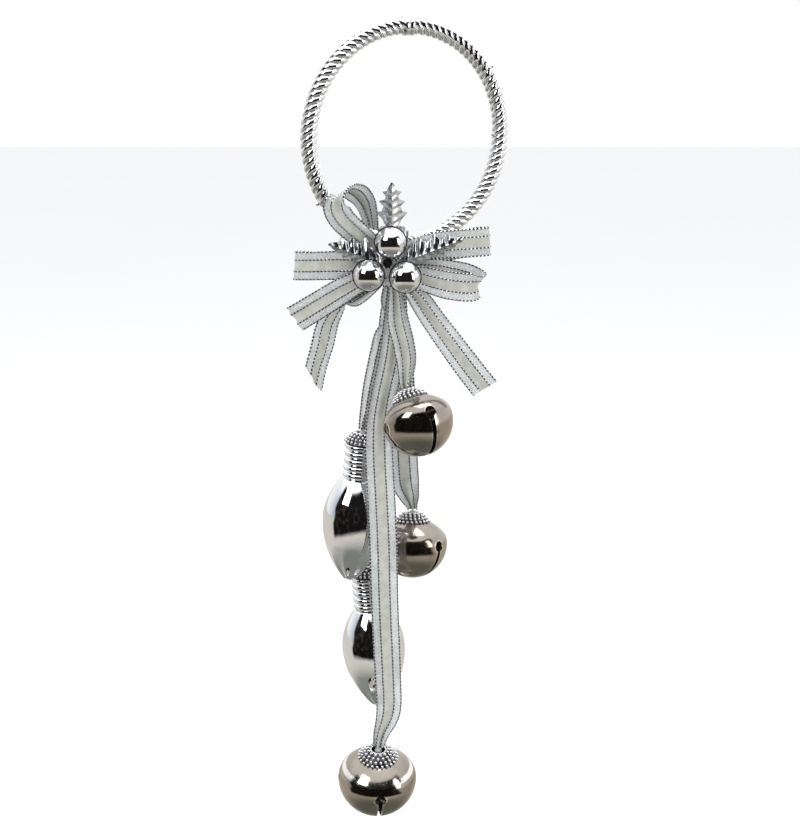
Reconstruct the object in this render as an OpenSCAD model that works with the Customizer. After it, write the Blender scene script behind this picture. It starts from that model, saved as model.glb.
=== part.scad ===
// Christmas door hanger: a twisted hoop with a ribbon bow, a holly pick, three jingle bells and two bulbs.
// The origin is the hook seat, at the inner top of the hoop. +Z is up and the bow faces -Y.

/* [Hoop] */
// Outer diameter of the hoop
hoop_od = 128; // [107:1:155]
// Thickness of the hoop's rope
rope_d = 9.2; // [7.5:0.1:10]
// Turn of the hoop about the vertical, away from the bow's front
hoop_turn = 27; // [20:1:32]
// Length of the joint sleeve at the top of the hoop
sleeve_l = 5; // [3:0.5:9]
// Wall of the joint sleeve
sleeve_wall = 0.6; // [0.4:0.1:1.2]

/* [Ribbon] */
// Width of the ribbon
ribbon_w = 16; // [12:0.5:19]
// Thickness of the ribbon
ribbon_t = 0.4; // [0.3:0.1:0.5]
// Height of the band that binds the bow to the hoop
band_h = 31; // [28:1:34]
// Width of the band
band_w = 13; // [10:1:15]
// Thickness of the tie wire
wire_d = 0.9; // [0.6:0.1:1.4]

/* [Holly] */
// Length of the top leaf
top_leaf_l = 26.4; // [22:0.2:32]
// Length of the left leaf
left_leaf_l = 30.2; // [26:0.2:34]
// Length of the right leaf
right_leaf_l = 35.6; // [30:0.2:40]
// Half the width of each leaf
leaf_half_w = 11; // [8:0.5:12]
// Thickness of each leaf
leaf_t = 0.8; // [0.6:0.1:1.2]
// Fold of each half leaf back from its midrib
leaf_fold = 34; // [20:1:45]
// Diameter of each berry
berry_d = 17.2; // [14:0.2:17.4]
// Wall of each berry cup
cup_wall = 0.4; // [0.3:0.1:0.45]

/* [Bells] */
// Diameter of the upper bell
upper_bell_d = 40; // [32:0.5:41]
// Diameter of the middle bell
middle_bell_d = 41; // [33:0.5:42]
// Diameter of the lower bell
lower_bell_d = 46; // [36:0.5:56]
// Thickness of the bell metal
bell_wall = 0.8; // [0.6:0.1:1.2]
// Width of the slits across a bell's underside
slit_w = 2.4; // [1.6:0.1:3]
// Diameter of the keyhole at each end of a slit
keyhole_d = 6.4; // [5.4:0.1:7.4]
// Diameter of the loose ball in each bell
ball_d = 9; // [8:0.5:11]
// Clearance between the loose ball and the bell
ball_gap = 0.3; // [0.2:0.05:0.6]
// Thickness of the wire of a bell's shank
shank_d = 1.3; // [1:0.1:1.8]

/* [Bulbs] */
// Diameter of each bulb
bulb_d = 37.6; // [30:0.2:38.4]
// Length of a bulb from the end of its neck to its tip
bulb_l = 62; // [52:1:66]
// Diameter of a bulb's neck over its rings
neck_d = 19.6; // [15:0.2:21]
// Length of a bulb's neck
neck_l = 21; // [17:0.5:26]
// Wall of a bulb
bulb_wall = 1.2; // [0.8:0.1:2]

/* [Caps] */
// Diameter of the studded caps
cap_d = 21.4; // [18:0.2:23]
// Diameter of the lower bell's cap
lower_cap_d = 24.4; // [20:0.2:27]
// Height of the studded caps
cap_h = 7.4; // [6:0.2:9]
// Wall of the caps
cap_wall = 1.5; // [1:0.1:2]
// Diameter of the hole in a cap's top
cap_hole_d = 8; // [6:0.2:9]

/* [Drops] */
// Height of the bend where the hanging ribbons leave the bunch, below the hoop's lowest point
bend_drop = 44; // [42:1:50]
// Height of the bend in the lower bell's ribbon, below the first bend
long_bend_drop = 78; // [76:1:90]
// Height of the upper bell's cap seat below the first bend
upper_drop = 42.2; // [40.2:0.5:44.2]
// Height of the middle bell's cap seat below the first bend
middle_drop = 125; // [122:1:130]
// Height of the left bulb's cap seat below the first bend
left_drop = 73; // [70:1:76]
// Height of the rear bulb's cap seat below the first bend
rear_drop = 159; // [157:1:166]
// Height of the lower bell's cap seat below the first bend
lower_drop = 258; // [250:1:310]

/* [Hidden] */
$fn = 96;
// Gap that keeps neighbouring pieces apart
gap = 0.3;
// Gap between a ribbon's end and the knot below it
knot_gap = 0.3;
// How far a bell's cap reaches below its seat
cap_skirt = 0.8;

// Hoop
rope_r = rope_d / 2;
hoop_mid_r = hoop_od / 2 - rope_r;
hoop_centre = [0, 0, -(hoop_mid_r - rope_r)];
hoop_low_z = hoop_centre.z - hoop_mid_r;

// Bow: its middle lies over the hoop's lowest stretch
bow = [-8, -4, hoop_low_z - 7.4];
band_y = [-11, 10.5];

// Holly
hub = bow + [-2.5, -14.5, -1];
berry_reach = 12.1;
berry_points = [for (a = [82, 211, 323]) hub + [berry_reach * cos(a), -6.8, berry_reach * sin(a)]];

// Bends of the hanging ribbons, from the front one to the rear one
bend_z = hoop_low_z - bend_drop;
upper_bend = [-4.5, -11, bend_z];
long_bend = [-15.5, -10.6, bend_z - long_bend_drop];
left_bend = [-9.5, -2, bend_z];
middle_bend = [-4, 1, bend_z];
rear_bend = [-8, 4.5, bend_z];

// Where each cap sits, and how each pendant hangs: rotations about X and Y, then the turn about its own axis
upper_seat = [2.2, -21.5, bend_z - upper_drop];
upper_tilt = [-22, -20, 30];
middle_seat = [3.6, 18.2, bend_z - middle_drop];
middle_tilt = [-8, 0, 50];
lower_seat = [-16.6, -18, bend_z - lower_drop];
lower_tilt = [14, 2, 6];
left_seat = [-25.4, 4, bend_z - left_drop];
left_tilt = [0, 5.5, 0];
rear_seat = [-23, 24, bend_z - rear_drop];
rear_tilt = [0, -4.4, 0];

// ---------- helpers ----------

function unit(v) = v / norm(v);
function point(q) = [q[0], q[1], q[2]];
function across(q) = unit([q[3], q[4], q[5]]);
// Catmull-Rom curve through rows of numbers
function curve_at(a, b, c, d, u) =
    0.5 * (2 * b + (c - a) * u + (2 * a - 5 * b + 4 * c - d) * u * u + (3 * b - a - 3 * c + d) * u * u * u);
function curve(k, n) = concat(
    [for (i = [0 : len(k) - 2]) for (j = [0 : n - 1])
        curve_at(k[max(i - 1, 0)], k[i], k[i + 1], k[min(i + 2, len(k) - 1)], j / n)],
    [k[len(k) - 1]]);
// Moves a ribbon's rows by an offset
function moved(rows, by) = [for (q = rows) [q[0] + by.x, q[1] + by.y, q[2] + by.z, q[3], q[4], q[5], q[6]]];

// A flat ribbon along rows of [x, y, z, width direction, share of the full width].
// Its two ends lie along their own width directions, so that they meet level pieces squarely
module ribbon(rows, steps = 4) {
    path = curve(rows, steps);
    last = len(path) - 1;
    corners = [for (i = [0 : last])
        let (
            p = point(path[i]),
            along = unit(point(path[min(i + 1, last)]) - point(path[max(i - 1, 0)])),
            up = unit(cross(along, across(path[i]))),
            level = i == 0 || i == last,
            side = (level ? across(path[i]) : cross(up, along)) * ribbon_w * path[i][6] / 2,
            face = up * ribbon_t / 2
        )
        each [p - side - face, p + side - face, p + side + face, p - side + face]];
    walls = [for (i = [0 : last - 1]) for (j = [0 : 3])
        let (a = 4 * i + j, b = 4 * i + (j + 1) % 4)
        each [[a, b, b + 4], [a, b + 4, a + 4]]];
    e = 4 * last;
    ends = [[3, 2, 1], [3, 1, 0], [e, e + 1, e + 2], [e, e + 2, e + 3]];
    polyhedron(points = corners, faces = [for (f = concat(walls, ends)) [f[2], f[1], f[0]]]);
}

// Puts a pendant's own frame, with its cap seat at the origin, where it hangs
module hung(seat, tilt) {
    translate(seat)
        rotate([tilt.x, tilt.y, 0])
            rotate([0, 0, tilt.z])
                children();
}

// ---------- hoop ----------

module hoop_ring(r) {
    translate(hoop_centre)
        rotate([0, 0, hoop_turn])
            rotate([90, 0, 0])
                rotate_extrude($fn = 120)
                    translate([hoop_mid_r, 0])
                        circle(r);
}

module hoop() {
    color("silver")
        hoop_ring(rope_r);
}

module hoop_sleeve() {
    angle = sleeve_l / hoop_mid_r * 180 / PI;
    color("gainsboro")
        translate(hoop_centre)
            rotate([0, 0, hoop_turn])
                rotate([90, 0, 0])
                    rotate_extrude(angle = angle, start = 90 - angle / 2, $fn = 120)
                        translate([hoop_mid_r, 0])
                            difference() {
                                circle(rope_r + sleeve_wall);
                                circle(rope_r);
                            }
}

// ---------- bow ----------

module bow_band() {
    color("lightgray")
        difference() {
            translate([bow.x - band_w / 2, bow.y + band_y[0], bow.z - band_h / 2])
                cube([band_w, band_y[1] - band_y[0], band_h]);
            hoop_ring(rope_r);
        }
}

// A wire loop round the top of the band, with its twisted end hanging beside the hoop
module tie_wire() {
    depth = band_y[1] - band_y[0];
    loop_z = bow.z + band_h / 2 - wire_d / 2;
    end_x = bow.x + band_w / 2 + wire_d;
    color("dimgray") {
        difference() {
            translate([bow.x - band_w / 2 - wire_d, bow.y + band_y[0] - wire_d, loop_z])
                cube([band_w + 2 * wire_d, depth + 2 * wire_d, wire_d]);
            translate([bow.x - band_w / 2, bow.y + band_y[0], loop_z - wire_d])
                cube([band_w, depth, 3 * wire_d]);
        }
        translate([end_x, bow.y + band_y[0] - wire_d, loop_z - 5.5])
            cube([2 * wire_d, wire_d, 5.5 + wire_d]);
    }
}

// Rows are relative to the bow's middle
upper_left_rows = [
    [-7.5, -10.2, 5.6, 0, 0, 1, 0.45], [-14, -13.6, 10.3, 0.5, -0.15, 0.84, 0.8],
    [-22.2, -18.4, 18, 0.6, -0.2, 0.76, 0.9], [-27.8, -22.8, 24.6, 0.64, -0.25, 0.72, 0.92],
    [-30.2, -25.5, 31.1, 0.7, -0.3, 0.6, 0.92], [-28, -26.4, 36.8, 0.7, -0.4, 0.6, 0.7],
    [-23.5, -17.5, 39.1, 0.6, -0.6, 0.5, 0.85], [-19, -9, 36.1, 0.75, -0.3, 0.55, 0.85],
    [-15.3, -1, 30.1, 0.8, -0.4, 0.3, 0.8], [-12.8, 4, 21.6, 0.75, -0.6, 0.1, 0.7],
    [-11.3, 6.2, 14.1, 0.4, -0.4, 0.8, 0.5], [-7.6, 5.2, 8.2, 0, -0.1, 1, 0.4]];
left_rows = [
    [-7.3, -8.2, -4.6, 0, 0, 1, 0.7], [-18, -8.4, -4, 0, 0.1, 1, 0.9], [-32, -10, -3.6, 0.03, 0.05, 1, 1],
    [-46, -9.6, -4, 0.06, 0, 1, 1], [-53.4, -6.6, -4.4, 0.08, 0, 1, 1], [-53.6, -3.4, -4.5, 0.08, 0, 1, 1],
    [-46, -0.8, -5, 0.05, 0, 1, 1], [-32, -0.4, -5.4, 0, 0, 1, 1], [-18, -2, -5.2, 0, 0, 1, 0.9],
    [-7.3, -2.6, -5, 0, 0, 1, 0.7]];
lower_left_rows = [
    [-7.3, -10.2, -8.6, 0, 0, 1, 0.55], [-16, -10.6, -11.5, 0.42, 0.05, 0.9, 0.75],
    [-28, -12.6, -17.6, 0.5, 0.05, 0.87, 0.9], [-41, -13.4, -25.4, -0.5, 0, 0.86, 0.95],
    [-51.6, -12.4, -32, -0.56, 0, 0.83, 0.97], [-54.4, -10.6, -33.8, -0.58, 0, 0.81, 0.97],
    [-51.6, -8.8, -32.2, -0.56, 0, 0.83, 0.95], [-40, -7.6, -26, -0.5, 0, 0.86, 0.9],
    [-27, -7.2, -19.2, 0.5, 0, 0.87, 0.8], [-14, -6.8, -13.8, 0.3, 0, 0.95, 0.5],
    [-7.3, -6.6, -11.4, 0, 0, 1, 0.4]];
tail_left_rows = [
    [-7.3, -3.2, -13.4, -0.2, 0, 0.98, 0.4], [-20, -3.6, -21.2, 0.66, 0.2, 0.72, 0.8],
    [-29, -4.4, -27, 0.8, 0.5, 0.5, 0.95], [-36, -4.8, -37, 0.8, 0.6, 0.2, 1],
    [-39.4, -5.4, -50, 0.78, 0.6, 0.14, 1], [-43.2, -6.2, -63, 0.78, 0.6, 0.2, 0.95],
    [-45.6, -6.8, -76, 0.78, 0.6, 0.26, 0.3]];
upper_right_rows = [
    [6.8, -5.8, 3.6, 0, 0, 1, 0.6], [18, -5.6, 6, -0.05, 0.05, 1, 0.85], [32, -6.2, 7.6, -0.06, 0, 1, 0.98],
    [46, -6, 8.4, -0.08, 0, 1, 1], [53, -4.2, 8.8, -0.08, 0, 1, 1], [53.2, -1.6, 8.8, -0.08, 0, 1, 1],
    [46, 0.2, 8, -0.06, 0, 1, 1], [32, 0, 5, -0.06, 0, 1, 0.9], [18, -2.2, 0.6, 0, 0, 1, 0.7],
    [6.8, -3, -1.4, 0, 0, 1, 0.6]];
lower_right_rows = [
    [6.8, -9.2, -8.8, 0, 0, 1, 0.6], [17, -9, -11.4, -0.1, 0, 1, 0.85],
    [30, -10, -14.6, 0, 0, 1, 0.98], [42, -10.2, -16, 0.15, 0, 1, 1], [47, -9, -15.4, 0.24, 0, 1, 1],
    [46.6, -7.4, -13.6, 0.26, 0, 0.97, 1], [40, -7.2, -10.6, 0.4, 0, 0.92, 1],
    [28, -7.4, -7.6, 0.2, 0, 0.98, 0.9], [17, -6.6, -6.4, 0, 0, 1, 0.75], [6.8, -6.4, -5.6, 0, 0, 1, 0.5]];
tail_right_rows = [
    [8.6, -4.6, -16, 0.8, 0, 0.6, 0.45], [15, -5.6, -23.4, 0.82, -0.1, 0.56, 0.75],
    [23.6, -8.2, -35.6, 0.84, -0.1, 0.54, 0.85], [33.6, -11, -49, 0.84, -0.05, 0.55, 0.92],
    [43, -12, -61.6, 0.86, 0, 0.53, 0.96], [52, -12.4, -73, 0.86, 0, 0.52, 0.98]];

module bow_loop_upper_left() {
    color("lightgray") ribbon(moved(upper_left_rows, bow));
}

module bow_loop_left() {
    color("lightgray") ribbon(moved(left_rows, bow));
}

module bow_loop_lower_left() {
    color("lightgray") ribbon(moved(lower_left_rows, bow));
}

module bow_loop_upper_right() {
    color("lightgray") ribbon(moved(upper_right_rows, bow));
}

module bow_loop_lower_right() {
    color("lightgray") ribbon(moved(lower_right_rows, bow));
}

module bow_tail_left() {
    color("lightgray") ribbon(moved(tail_left_rows, bow));
}

module bow_tail_right() {
    color("lightgray") ribbon(moved(tail_right_rows, bow));
}

// ---------- holly ----------

module holly_hub() {
    boss_r = 2.6;
    base_y = bow.y + band_y[0];
    color("dimgray")
        translate([hub.x, base_y, hub.z])
            rotate([90, 0, 0]) {
                cylinder(r = boss_r, h = base_y - hub.y + 3);
                translate([0, 0, base_y - hub.y + 3])
                    cylinder(r = boss_r * 0.6, h = 1.6);
            }
}

// Half a spiky leaf, from its base along +X, as a share of its length and of its half width
half_leaf = [
    [0, 0], [0.01, 0.2], [0.1, 0.5], [0.18, 0.66], [0.26, 1], [0.34, 0.62], [0.45, 0.5], [0.55, 0.81],
    [0.61, 0.46], [0.69, 0.34], [0.77, 0.62], [0.82, 0.26], [0.92, 0.16], [1, 0]];

module leaf(length) {
    outline = [for (p = half_leaf) [p.x * length, p.y * leaf_half_w]];
    color("gray")
        for (side = [0, 1])
            mirror([0, side, 0])
                rotate([-leaf_fold, 0, 0])
                    linear_extrude(leaf_t)
                        polygon(outline);
}

// A leaf whose base is given from the hub: its direction in the XZ plane, its pitch towards the front and
// its roll about the midrib
module placed_leaf(length, base, angle, pitch, roll) {
    translate(hub + base)
        rotate([0, -angle, 0])
            rotate([0, 0, -pitch])
                rotate([90 + roll, 0, 0])
                    leaf(length);
}

module holly_leaf_top() {
    placed_leaf(top_leaf_l, [2.4, 2.2, 17.3], 90, -3, 0);
}

module holly_leaf_left() {
    placed_leaf(left_leaf_l, [-5.5, -1.3, 1], 158, 15.7, -14);
}

module holly_leaf_right() {
    placed_leaf(right_leaf_l, [8.9, 0, 0.8], 22, 8.8, 14);
}

module berry(n) {
    color("lightslategray")
        translate(berry_points[n])
            sphere(d = berry_d);
}

module berry_top() {
    berry(0);
}

module berry_left() {
    berry(1);
}

module berry_right() {
    berry(2);
}

module berry_cups() {
    cup_r = berry_d / 2 + 0.1;
    color("silver")
        for (p = berry_points)
            translate(p)
                rotate([-90, 0, 0])
                    rotate_extrude()
                        intersection() {
                            difference() {
                                circle(cup_r + cup_wall);
                                circle(cup_r);
                            }
                            translate([4, 0])
                                square([cup_r, cup_r * 0.42]);
                        }
}

// ---------- hanging ribbons ----------

// Rows from the band's underside down to each bend. A ribbon that swings sideways is pinched at its bend
bunch_top_z = bow.z - band_h / 2 - gap;
pinch = 0.2;
pinch_gap = 1.3;
function bunch_rows(x, y, bend, share, end_share, end_gap) = [
    [x, y, bunch_top_z, 1, 0, 0, 0.55 * share],
    [(x + bend.x) / 2, (y + bend.y) / 2, (bunch_top_z + bend.z) / 2, 1, 0, 0, 0.8 * share],
    [bend.x, bend.y, bend.z + end_gap, 1, 0, 0, end_share]];

module ribbon_bunch() {
    color("lightgray") {
        ribbon(bunch_rows(-6.5, -10, upper_bend, 0.75, 0.75, gap), 3);
        ribbon(bunch_rows(-8.5, -3.4, left_bend, 0.85, pinch, pinch_gap), 3);
        ribbon(bunch_rows(-7, -0.4, middle_bend, 0.85, pinch, pinch_gap), 3);
        ribbon(bunch_rows(-8, 2.6, rear_bend, 0.9, 0.9, gap), 3);
    }
}

module lower_bell_ribbon_top() {
    color("lightgray")
        ribbon([
            [-6, -6.6, bunch_top_z, 1, 0, 0, 0.55],
            [-6, -6.8, bend_z + 6, 1, 0, 0, 0.8],
            [-8.4, -7.2, bend_z - 20, 1, 0, 0.1, 0.9],
            [-13.4, -8.4, bend_z - 44, 1, 0, 0.1, 0.9],
            [-15.6, -9.4, bend_z - 60, 1, 0.05, 0, 0.94],
            [long_bend.x, long_bend.y, long_bend.z + gap, 1, 0, 0, 1]], 3);
}

// The point just above the knot of a pendant, where its ribbon ends
function ribbon_end(seat, tilt) =
    let (h = cap_h + knot_gap, ax = [sin(tilt.y) * cos(tilt.x), -sin(tilt.x), cos(tilt.y) * cos(tilt.x)])
    seat + ax * h;

function end_row(p, share) = [p.x, p.y, p.z, 1, 0, 0, share];

module upper_bell_ribbon() {
    tip = ribbon_end(upper_seat, upper_tilt);
    color("lightgray")
        ribbon([
            [upper_bend.x, upper_bend.y, upper_bend.z, 1, 0, 0, 0.75],
            [-1.6, -11.6, bend_z - 12, 1, 0.1, 0, 0.75],
            [-0.2, -12.2, bend_z - 22, 1, 0.2, 0, 0.7],
            end_row(tip + [-0.4, 0.6, 2.4], 0.4),
            end_row(tip, 0.34)]);
}

module middle_bell_ribbon() {
    tip = ribbon_end(middle_seat, middle_tilt);
    color("lightgray")
        ribbon([
            [middle_bend.x, middle_bend.y, middle_bend.z, 1, 0, 0, pinch],
            [-3.8, 1.9, bend_z - 9, 1, 0, 0, 0.85],
            [-3.4, 3.4, bend_z - 30, 1, 0, 0, 0.95],
            [-2, 9, bend_z - 70, 1, 0, 0, 1],
            [-0.6, 14.6, bend_z - 98, 1, 0, 0, 1],
            [1.6, 16.4, bend_z - 108, 1, 0, 0, 0.75],
            end_row(tip + [-0.4, 0, 3], 0.4),
            end_row(tip, 0.34)]);
}

module lower_bell_ribbon() {
    tip = ribbon_end(lower_seat, lower_tilt);
    color("lightgray")
        ribbon([
            [long_bend.x, long_bend.y, long_bend.z, 1, 0, 0, 1],
            [-14.2, -13, bend_z - 105, 1, 0, 0, 1],
            [-13.2, -15.6, bend_z - 130, 1, 0, 0, 1],
            [-12.4, -17, bend_z - 165, 1, 0, 0, 0.98],
            [-10.8, -18, bend_z - 205, 1, 0, 0, 0.95],
            [-10.4, -19.2, bend_z - 228, 1, 0, 0, 0.88],
            end_row(tip + [1.6, 0.6, 8], 0.55),
            end_row(tip, 0.36)]);
}

module left_bulb_ribbon() {
    tip = ribbon_end(left_seat, left_tilt);
    color("lightgray")
        ribbon([
            [left_bend.x, left_bend.y, left_bend.z, 1, 0, 0, pinch],
            [-11.2, -1.4, bend_z - 8, 1, 0, 0.05, 0.8],
            [-14, -0.4, bend_z - 20, 1, 0, 0.1, 0.85],
            [-18.4, 1.4, bend_z - 40, 1, 0, 0.2, 0.8],
            [-21.6, 3, bend_z - 54, 1, 0.1, 0.1, 0.6],
            end_row(tip + [0.8, 0, 4], 0.42),
            end_row(tip, 0.34)]);
}

module rear_bulb_ribbon() {
    tip = ribbon_end(rear_seat, rear_tilt);
    color("lightgray")
        ribbon([
            [rear_bend.x, rear_bend.y, rear_bend.z, 1, 0, 0, 0.9],
            [-12, 11.5, bend_z - 36, 1, 0, 0, 0.95],
            [-19.6, 20.5, bend_z - 78, 1, 0, 0, 1],
            [-25.4, 26.6, bend_z - 114, 1, 0, 0, 1],
            [-25.6, 26.4, bend_z - 136, 1, 0, 0, 0.95],
            end_row(tip + [0, 0.6, 6], 0.5),
            end_row(tip, 0.34)]);
}

// ---------- pendants, each in its own frame with the cap seat at the origin ----------

// Half the outline of a bell of radius a: a shallow dome over a rounded shoulder and a bowl, all tangent
shoulder_share = 0.5;
dome_share = 0.72;
seat_share = 0.6;
module bell_outline(a, inset) {
    rc = a * shoulder_share;
    rise = a * dome_share;
    drop = ((a - rc) ^ 2 - (rise - rc) ^ 2) / (2 * (rise - rc));
    dome_r = rise + drop;
    far = 3 * a;
    slope = far * [a - rc, drop] / norm([a - rc, drop]);
    intersection() {
        translate([0, -drop])
            circle(dome_r - inset);
        polygon([[0, -drop], [slope.x, slope.y - drop], [far, far], [0, far]]);
    }
    intersection() {
        circle(a - inset);
        translate([0, -far])
            square(far);
    }
    intersection() {
        translate([a - rc, 0])
            circle(rc - inset);
        translate([a - rc, 0])
            square(far);
    }
}

module bell_solid(d, inset) {
    rotate_extrude()
        bell_outline(d / 2, inset);
}

// Height of a bell's equator below its cap seat, and of the top of its dome above the seat
function bell_drop(d) = d / 2 * seat_share;
function dome_top(d) = d / 2 * dome_share - bell_drop(d);

module bell_shell(d) {
    a = d / 2;
    color("rosybrown")
        translate([0, 0, -bell_drop(d)])
            difference() {
                bell_solid(d, 0);
                bell_solid(d, bell_wall);
                cylinder(d = shank_d + 0.4, h = d);
                for (turn = [0, 90])
                    rotate([0, 0, turn]) {
                        translate([-slit_w / 2, -d, -d])
                            cube([slit_w, 2 * d, d]);
                        rotate([90, 0, 0])
                            cylinder(d = keyhole_d, h = 2 * d, center = true);
                    }
            }
}

// The ball lies at the lowest point of the bowl, straight below the bell's centre
module placed_ball(d, seat, tilt) {
    axis = [sin(tilt.y) * cos(tilt.x), -sin(tilt.x), cos(tilt.y) * cos(tilt.x)];
    reach = d / 2 - bell_wall - ball_gap - ball_d / 2;
    color("darkgray")
        translate(seat - axis * bell_drop(d) - [0, 0, reach])
            sphere(d = ball_d);
}

// The shank's loop fills the height between the dome and the cap's top
module bell_shank(d) {
    top = dome_top(d);
    loop_r = (cap_h - top - shank_d) / 2 - 0.1;
    color("gray") {
        translate([0, 0, top - bell_wall - 1.2])
            cylinder(d = shank_d, h = bell_wall + 1.5);
        translate([0, 0, top - bell_wall - 1.2])
            cylinder(d = 4 * shank_d, h = 0.8);
        translate([0, 0, top + loop_r + shank_d / 2])
            rotate([90, 0, 0])
                rotate_extrude()
                    translate([loop_r, 0])
                        circle(d = shank_d);
    }
}

// A domed cap with a hole in its top and a hollow inside. On a bell of diameter seat_d it rests on the dome
module cap(d, seat_d = 0) {
    r = d / 2;
    hole_r = cap_hole_d / 2;
    dome_r = (r ^ 2 + cap_h ^ 2 - (hole_r * 0.9) ^ 2) / (2 * cap_h) + 1;
    skirt = seat_d > 0 ? cap_skirt : 0;
    color("silver")
        rotate_extrude()
            difference() {
                intersection() {
                    translate([0, cap_h - dome_r])
                        circle(dome_r);
                    translate([hole_r, -skirt])
                        square([r - hole_r, cap_h + skirt]);
                }
                intersection() {
                    translate([0, cap_h - dome_r])
                        circle(dome_r - cap_wall);
                    translate([0, -2])
                        square([r - cap_wall, cap_h + 1]);
                }
                if (seat_d > 0)
                    translate([0, -bell_drop(seat_d)])
                        bell_outline(seat_d / 2, -0.02);
            }
}

// The ribbon's knot, between the top of what the cap covers and the cap's own top
module knot(top = 0) {
    knot_r = min(cap_hole_d * 0.38, (cap_h - top) / 2 - 0.05);
    color("lightgray")
        translate([0, 0, cap_h - knot_r])
            sphere(r = knot_r);
}

// A bulb: a ringed neck below the seat, then a body whose lower arc meets the round tip
neck_rings = 5;
tip_r = 6.5;
bulb_equator_share = 0.38;
module bulb_outline(inset) {
    a = bulb_d / 2;
    neck_r = neck_d / 2;
    ring_r = neck_l / neck_rings / 2;
    equator = neck_l + bulb_l * bulb_equator_share;
    h = bulb_l * (1 - bulb_equator_share) - tip_r;
    back = (h ^ 2 - (a - tip_r) ^ 2) / (2 * (a - tip_r));
    flank = a + back;
    touch = flank / (flank - tip_r);
    far = 3 * a;
    // The shoulder cone starts a little inside the last ring and runs a little inside the sphere
    rise = equator - neck_l + 0.3;
    cone_r = a * 0.99;
    lean = atan2(rise, neck_r) - acos(cone_r / norm([neck_r, rise]));
    top = rise - inset;
    start = (cone_r - inset - sin(lean) * top) / cos(lean);
    meet = (cone_r - inset) * [cos(lean), sin(lean)] - [0, equator];
    // Neck and its rings
    translate([0, -equator])
        square([neck_r - ring_r * 0.7 - inset, equator - inset]);
    for (i = [0 : neck_rings - 1])
        translate([neck_r - ring_r, -(i + 0.5) * 2 * ring_r])
            circle(max(ring_r - inset, 0.4), $fn = 32);
    // Shoulder: a cone from the neck's end to the sphere below it
    polygon([[0, -equator], meet, [start, top - equator], [0, top - equator]]);
    // Upper part: a sphere of the bulb's own radius
    intersection() {
        translate([0, -equator])
            circle(a - inset);
        translate([0, -equator])
            square([far, bulb_l]);
    }
    // Lower part: the flank
    intersection() {
        translate([-back, -equator])
            circle(flank - inset);
        polygon([
            [0, -equator], [far, -equator],
            [-back + back * touch * 3, -equator - h * touch * 3],
            [-back + back * touch, -equator - h * touch], [0, -equator - h]]);
    }
    // Tip
    intersection() {
        translate([0, -equator - h])
            circle(tip_r - inset);
        translate([0, -equator - h - tip_r])
            square([tip_r, tip_r * 2]);
    }
}

module bulb_body() {
    color("lightsteelblue")
        rotate_extrude()
            difference() {
                intersection() {
                    bulb_outline(0);
                    translate([0, -neck_l - bulb_l])
                        square([bulb_d, neck_l + bulb_l]);
                }
                intersection() {
                    bulb_outline(bulb_wall);
                    translate([0, -neck_l - bulb_l])
                        square([bulb_d, neck_l + bulb_l - bulb_wall]);
                }
            }
}

module upper_bell_knot() {
    hung(upper_seat, upper_tilt) knot(dome_top(upper_bell_d));
}

module upper_bell_cap() {
    hung(upper_seat, upper_tilt) cap(cap_d, upper_bell_d);
}

module upper_bell_shank() {
    hung(upper_seat, upper_tilt) bell_shank(upper_bell_d);
}

module upper_bell_shell() {
    hung(upper_seat, upper_tilt) bell_shell(upper_bell_d);
}

module upper_bell_ball() {
    placed_ball(upper_bell_d, upper_seat, upper_tilt);
}

module middle_bell_knot() {
    hung(middle_seat, middle_tilt) knot(dome_top(middle_bell_d));
}

module middle_bell_cap() {
    hung(middle_seat, middle_tilt) cap(cap_d, middle_bell_d);
}

module middle_bell_shank() {
    hung(middle_seat, middle_tilt) bell_shank(middle_bell_d);
}

module middle_bell_shell() {
    hung(middle_seat, middle_tilt) bell_shell(middle_bell_d);
}

module middle_bell_ball() {
    placed_ball(middle_bell_d, middle_seat, middle_tilt);
}

module lower_bell_knot() {
    hung(lower_seat, lower_tilt) knot(dome_top(lower_bell_d));
}

module lower_bell_cap() {
    hung(lower_seat, lower_tilt) cap(lower_cap_d, lower_bell_d);
}

module lower_bell_shank() {
    hung(lower_seat, lower_tilt) bell_shank(lower_bell_d);
}

module lower_bell_shell() {
    hung(lower_seat, lower_tilt) bell_shell(lower_bell_d);
}

module lower_bell_ball() {
    placed_ball(lower_bell_d, lower_seat, lower_tilt);
}

module left_bulb_knot() {
    hung(left_seat, left_tilt) knot();
}

module left_bulb_cap() {
    hung(left_seat, left_tilt) cap(cap_d);
}

module left_bulb_body() {
    hung(left_seat, left_tilt) bulb_body();
}

module rear_bulb_knot() {
    hung(rear_seat, rear_tilt) knot();
}

module rear_bulb_cap() {
    hung(rear_seat, rear_tilt) cap(cap_d);
}

module rear_bulb_body() {
    hung(rear_seat, rear_tilt) bulb_body();
}

// ---------- assembly ----------

hoop();
hoop_sleeve();
bow_band();
tie_wire();
bow_loop_upper_left();
bow_loop_left();
bow_loop_lower_left();
bow_loop_upper_right();
bow_loop_lower_right();
bow_tail_left();
bow_tail_right();
holly_hub();
holly_leaf_top();
holly_leaf_left();
holly_leaf_right();
berry_top();
berry_left();
berry_right();
berry_cups();
ribbon_bunch();
lower_bell_ribbon_top();
upper_bell_ribbon();
upper_bell_knot();
upper_bell_cap();
upper_bell_shank();
upper_bell_shell();
upper_bell_ball();
middle_bell_ribbon();
middle_bell_knot();
middle_bell_cap();
middle_bell_shank();
middle_bell_shell();
middle_bell_ball();
lower_bell_ribbon();
lower_bell_knot();
lower_bell_cap();
lower_bell_shank();
lower_bell_shell();
lower_bell_ball();
left_bulb_ribbon();
left_bulb_knot();
left_bulb_cap();
left_bulb_body();
rear_bulb_ribbon();
rear_bulb_knot();
rear_bulb_cap();
rear_bulb_body();
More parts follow.
